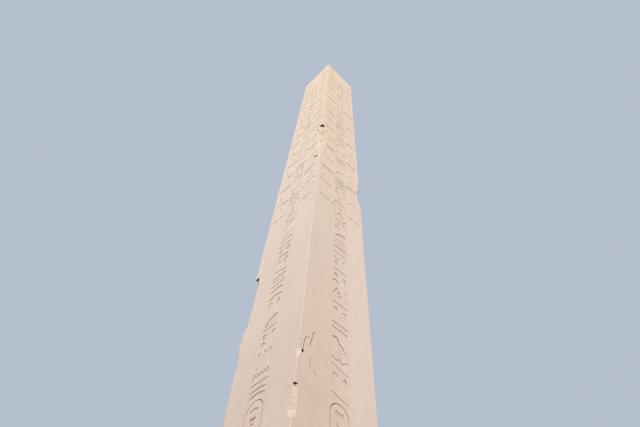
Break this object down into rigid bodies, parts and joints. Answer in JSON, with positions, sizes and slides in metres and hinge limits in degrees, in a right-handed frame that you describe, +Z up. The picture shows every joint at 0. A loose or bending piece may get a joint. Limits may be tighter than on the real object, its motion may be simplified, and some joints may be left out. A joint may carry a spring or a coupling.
{
  "type": "obelisk",
  "caption": "Tall square-section granite obelisk with a pyramid tip and worn arrises, on a pedestal block and a course of footing stones",
  "frame": {"origin": "centre of the underside, where the footing meets the ground", "axes": "+Z is up; the four faces of the stone look along +X, -X, +Y and -Y; the two faces in the picture are -Y on the left and +X on the right"},
  "size_m": [3.83, 3.83, 31.36],
  "materials": {
    "granite": "weathered pink granite, dressed faces, dull",
    "pedestal_granite": "weathered pink granite, hammered faces, dull",
    "sandstone": "worn sandstone, dull"
  },
  "bodies": {
    "root": {"monolith": "granite", "pedestal": "pedestal_granite", "footing_corner_1": "sandstone", "footing_corner_2": "sandstone", "footing_corner_3": "sandstone", "footing_corner_4": "sandstone", "footing_front_1": "sandstone", "footing_front_2": "sandstone", "footing_front_3": "sandstone", "footing_back_1": "sandstone", "footing_back_2": "sandstone", "footing_back_3": "sandstone", "footing_left_1": "sandstone", "footing_left_2": "sandstone", "footing_left_3": "sandstone", "footing_right_1": "sandstone", "footing_right_2": "sandstone", "footing_right_3": "sandstone", "footing_core_1": "sandstone", "footing_core_2": "sandstone", "footing_core_3": "sandstone"}
  },
  "joints": []
}
